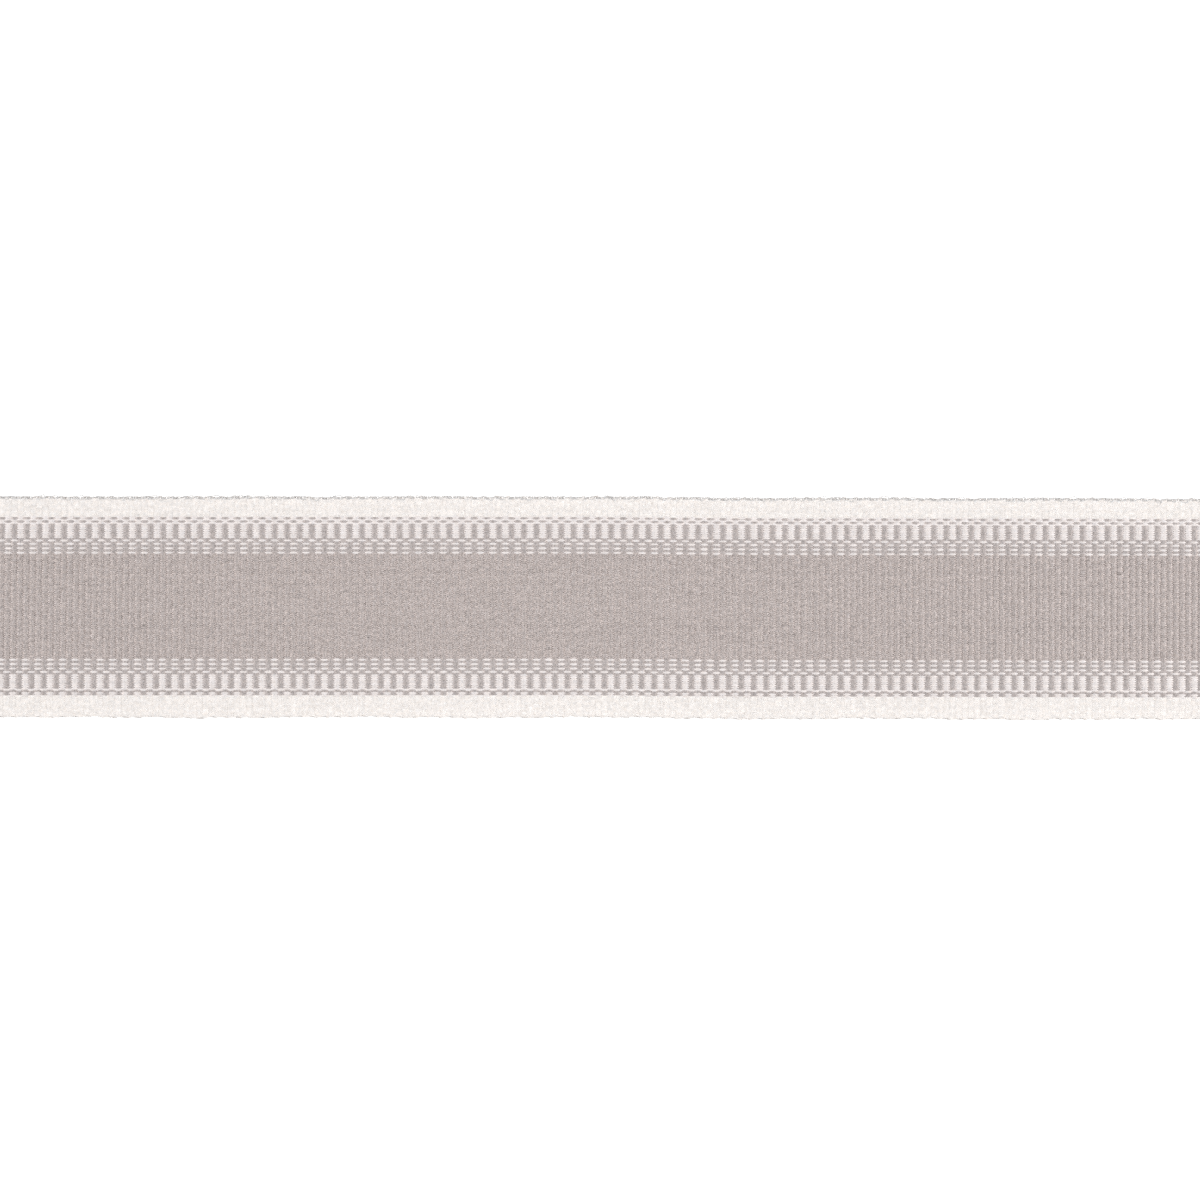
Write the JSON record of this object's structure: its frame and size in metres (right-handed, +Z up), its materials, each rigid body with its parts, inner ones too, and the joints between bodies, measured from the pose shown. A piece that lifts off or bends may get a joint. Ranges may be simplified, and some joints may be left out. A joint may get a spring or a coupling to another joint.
{
  "type": "woven tape trim length",
  "caption": "Flat cut length of ribbed woven tape trim, taupe with dashed borders and cream edges, sewn on as a band along curtains, cushions and blinds.",
  "frame": {"origin": "on the surface that the tape lies on, under the middle of its outline", "axes": "+X along the tape, +Y across it towards the upper edge of the picture, +Z up out of the face"},
  "size_m": [0.3004, 0.051, 0.0012],
  "materials": {
    "tape_yarn": "matte woven yarn, taupe middle, cream bands and dashes along both edges"
  },
  "bodies": {
    "root": {"woven_tape": "tape_yarn"}
  },
  "joints": []
}
